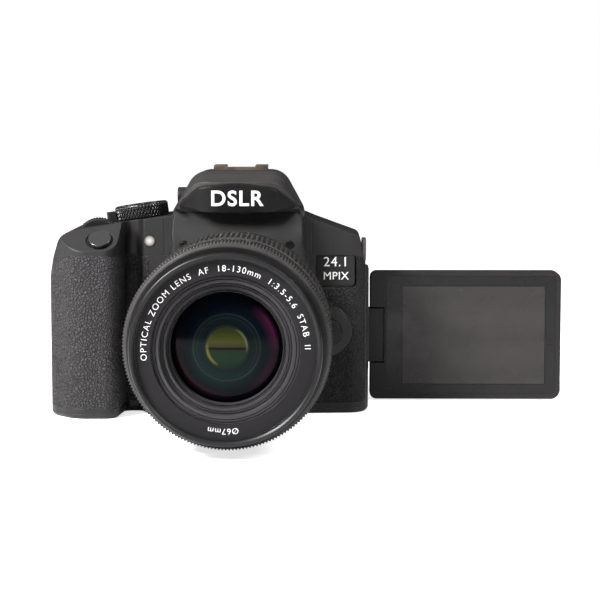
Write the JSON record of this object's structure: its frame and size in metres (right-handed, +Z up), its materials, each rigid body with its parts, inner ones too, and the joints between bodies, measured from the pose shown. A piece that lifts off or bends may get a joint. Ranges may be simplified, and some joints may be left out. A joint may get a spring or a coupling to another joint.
{
  "type": "dslr camera",
  "caption": "Black single-lens reflex camera with a textured hand grip, pop-up flash, zoom lens and a swing-out tilting screen opened to the side.",
  "frame": {"origin": "centre of the tripod socket's mouth on the base", "axes": "+Z up out of the base, -Y the way the lens looks, +X towards the swung-out screen"},
  "size_m": [0.2156, 0.171, 0.1023],
  "materials": {
    "shell_plastic": "fine textured black",
    "grip_rubber": "leather-grained black",
    "lens_plastic": "satin black",
    "gloss_trim": "semi-gloss black",
    "flash_shell": "fine textured black",
    "controls": "satin black",
    "shutter_button": "polished black",
    "bright_metal": "brushed bright metal",
    "screw_steel": "blackened steel",
    "lens_glass": "coated optical glass",
    "screen_glass": "dark display glass",
    "flash_window": "frosted clear",
    "mirror_silver": "silvered",
    "circuit_board": "green solder mask",
    "sensor_glass": "filter glass",
    "shutter_metal": "matt black blades",
    "battery_grey": "dark grey"
  },
  "bodies": {
    "camera_body": {"front_cover": "shell_plastic", "rear_cover": "shell_plastic", "top_cover": "shell_plastic", "base_plate": "shell_plastic", "grip_rubber": "grip_rubber", "side_rubber": "grip_rubber", "thumb_rubber": "grip_rubber", "badge_plate": "gloss_trim", "name_plate": "gloss_trim", "hot_shoe": "bright_metal", "lamp_window": "flash_window", "mount_ring": "bright_metal", "strap_lugs": "bright_metal", "cover_screws": "screw_steel", "tripod_socket": "bright_metal", "eyecup": "grip_rubber", "eyepiece_lens": "lens_glass", "mirror_box": "lens_plastic", "shutter_unit": "shutter_metal", "image_sensor": "sensor_glass", "main_board": "circuit_board", "focusing_screen": "lens_glass", "pentamirror": "lens_glass", "battery": "battery_grey", "memory_card": "battery_grey", "lens_barrel": "lens_plastic", "rear_lens_group": "lens_glass"},
    "screen_arm": {"screen_hinge": "gloss_trim"},
    "screen": {"screen_housing": "gloss_trim", "screen_glass": "screen_glass"},
    "zoom": {"zoom_ring": "grip_rubber"},
    "front_group": {"front_barrel": "lens_plastic", "name_ring": "lens_plastic", "front_element": "lens_glass"},
    "flash": {"flash_head": "flash_shell", "flash_window": "flash_window"},
    "mirror": {"reflex_mirror": "mirror_silver"},
    "focus": {"focus_ring": "grip_rubber"},
    "battery_door_body": {"battery_door": "shell_plastic"},
    "door_latch_body": {"door_latch": "shell_plastic"},
    "terminal_cover_body": {"terminal_cover": "grip_rubber"},
    "mode_dial_body": {"mode_dial": "controls"},
    "power_lever_body": {"power_lever": "controls"},
    "main_dial_body": {"main_dial": "controls"},
    "shutter_button_body": {"shutter_button": "shutter_button"},
    "lens_release_body": {"lens_release": "controls"},
    "focus_mode_body": {"focus_mode_switch": "controls"},
    "stabiliser_body": {"stabiliser_switch": "controls"},
    "diopter_body": {"diopter_knob": "controls"},
    "cross_keys_body": {"cross_keys": "controls"},
    "set_button_body": {"set_button": "controls"},
    "iso_button_body": {"iso_button": "controls"},
    "live_view_button_body": {"live_view_button": "controls"},
    "exposure_lock_button_body": {"exposure_lock_button": "controls"},
    "focus_point_button_body": {"focus_point_button": "controls"},
    "menu_button_body": {"menu_button": "controls"},
    "info_button_body": {"info_button": "controls"},
    "quick_menu_button_body": {"quick_menu_button": "controls"},
    "playback_button_body": {"playback_button": "controls"},
    "erase_button_body": {"erase_button": "controls"}
  },
  "joints": [
    {"name": "screen_swing", "type": "hinge", "parent": "camera_body", "child": "screen_arm", "pos_m": [0.0505, 0.0215, 0.0284], "axis": [0, 0, 1], "range_deg": [0, 180]},
    {"name": "screen_tilt", "type": "hinge", "parent": "screen_arm", "child": "screen", "pos_m": [0.058, 0.0215, 0.0284], "axis": [1, 0, 0], "range_deg": [-270, 0]},
    {"name": "zoom_turn", "type": "hinge", "parent": "camera_body", "child": "zoom", "pos_m": [0, -0.079, 0.04], "axis": [0, -1, 0], "range_deg": [0, 75]},
    {"name": "front_barrel_slide", "type": "slide", "parent": "camera_body", "child": "front_group", "axis": [0, -1, 0], "range_m": [0, 0.04]},
    {"name": "flash_raise", "type": "hinge", "parent": "camera_body", "child": "flash", "pos_m": [0, -0.004, 0.096], "axis": [-1, 0, 0], "range_deg": [0, 60]},
    {"name": "mirror_flip", "type": "hinge", "parent": "camera_body", "child": "mirror", "pos_m": [0, -0.0022, 0.054], "axis": [-1, 0, 0], "range_deg": [0, 45], "stiffness_Nm_per_rad": 0.002},
    {"name": "focus_turn", "type": "hinge", "parent": "camera_body", "child": "focus", "pos_m": [0, -0.112, 0.04], "axis": [0, -1, 0], "continuous": true},
    {"name": "battery_door_hinge", "type": "hinge", "parent": "camera_body", "child": "battery_door_body", "pos_m": [-0.06325, 0.0017, 0.00115], "axis": [-1, 0, 0], "range_deg": [-95, 0]},
    {"name": "door_latch_slide", "type": "slide", "parent": "battery_door_body", "child": "door_latch_body", "axis": [0, -1, 0], "range_m": [0, 0.0023]},
    {"name": "terminal_cover_hinge", "type": "hinge", "parent": "camera_body", "child": "terminal_cover_body", "pos_m": [0.0533, -0.012, 0.039], "axis": [0, 0, -1], "range_deg": [0, 110]},
    {"name": "mode_dial_turn", "type": "hinge", "parent": "camera_body", "child": "mode_dial_body", "pos_m": [-0.041, -0.002, 0.08056], "axis": [-0.1372, 0, 0.9905], "continuous": true},
    {"name": "power_lever_turn", "type": "hinge", "parent": "camera_body", "child": "power_lever_body", "pos_m": [-0.041, -0.002, 0.08056], "axis": [0.1372, 0, -0.9905], "range_deg": [0, 50]},
    {"name": "main_dial_turn", "type": "hinge", "parent": "camera_body", "child": "main_dial_body", "pos_m": [-0.0582, -0.013, 0.0714], "axis": [0, 1, 0], "continuous": true},
    {"name": "shutter_press", "type": "slide", "parent": "camera_body", "child": "shutter_button_body", "axis": [0, 0.6293, -0.7771], "range_m": [0, 0.0009], "stiffness_N_per_m": 800},
    {"name": "lens_release_press", "type": "slide", "parent": "camera_body", "child": "lens_release_body", "axis": [0, 1, 0], "range_m": [0, 0.0016], "stiffness_N_per_m": 800},
    {"name": "focus_mode_slide", "type": "slide", "parent": "camera_body", "child": "focus_mode_body", "axis": [0, 1, 0], "range_m": [0, 0.0032]},
    {"name": "stabiliser_slide", "type": "slide", "parent": "camera_body", "child": "stabiliser_body", "axis": [0, 1, 0], "range_m": [0, 0.0032]},
    {"name": "diopter_turn", "type": "hinge", "parent": "camera_body", "child": "diopter_body", "pos_m": [-0.025, 0.0175, 0.0885], "axis": [1, 0, 0], "range_deg": [-120, 120]},
    {"name": "cross_keys_press", "type": "slide", "parent": "camera_body", "child": "cross_keys_body", "axis": [0, -1, 0], "range_m": [0, 0.0004], "stiffness_N_per_m": 800},
    {"name": "set_press", "type": "slide", "parent": "camera_body", "child": "set_button_body", "axis": [0, -1, 0], "range_m": [0, 0.0006], "stiffness_N_per_m": 800},
    {"name": "iso_press", "type": "slide", "parent": "camera_body", "child": "iso_button_body", "axis": [0.1372, 0, -0.9905], "range_m": [0, 0.0006], "stiffness_N_per_m": 800},
    {"name": "live_view_press", "type": "slide", "parent": "camera_body", "child": "live_view_button_body", "axis": [0, -1, 0], "range_m": [0, 0.0006], "stiffness_N_per_m": 800},
    {"name": "exposure_lock_press", "type": "slide", "parent": "camera_body", "child": "exposure_lock_button_body", "axis": [0, -1, 0], "range_m": [0, 0.0006], "stiffness_N_per_m": 800},
    {"name": "focus_point_press", "type": "slide", "parent": "camera_body", "child": "focus_point_button_body", "axis": [0, -1, 0], "range_m": [0, 0.0006], "stiffness_N_per_m": 800},
    {"name": "menu_press", "type": "slide", "parent": "camera_body", "child": "menu_button_body", "axis": [0, -1, 0], "range_m": [0, 0.0006], "stiffness_N_per_m": 800},
    {"name": "info_press", "type": "slide", "parent": "camera_body", "child": "info_button_body", "axis": [0, -1, 0], "range_m": [0, 0.0006], "stiffness_N_per_m": 800},
    {"name": "quick_menu_press", "type": "slide", "parent": "camera_body", "child": "quick_menu_button_body", "axis": [0, -1, 0], "range_m": [0, 0.0006], "stiffness_N_per_m": 800},
    {"name": "playback_press", "type": "slide", "parent": "camera_body", "child": "playback_button_body", "axis": [0, -1, 0], "range_m": [0, 0.0006], "stiffness_N_per_m": 800},
    {"name": "erase_press", "type": "slide", "parent": "camera_body", "child": "erase_button_body", "axis": [0, -1, 0], "range_m": [0, 0.0006], "stiffness_N_per_m": 800}
  ],
  "couplings": [
    {"joint": "front_barrel_slide", "follows": "zoom_turn", "m_per_rad": 0.030558}
  ]
}
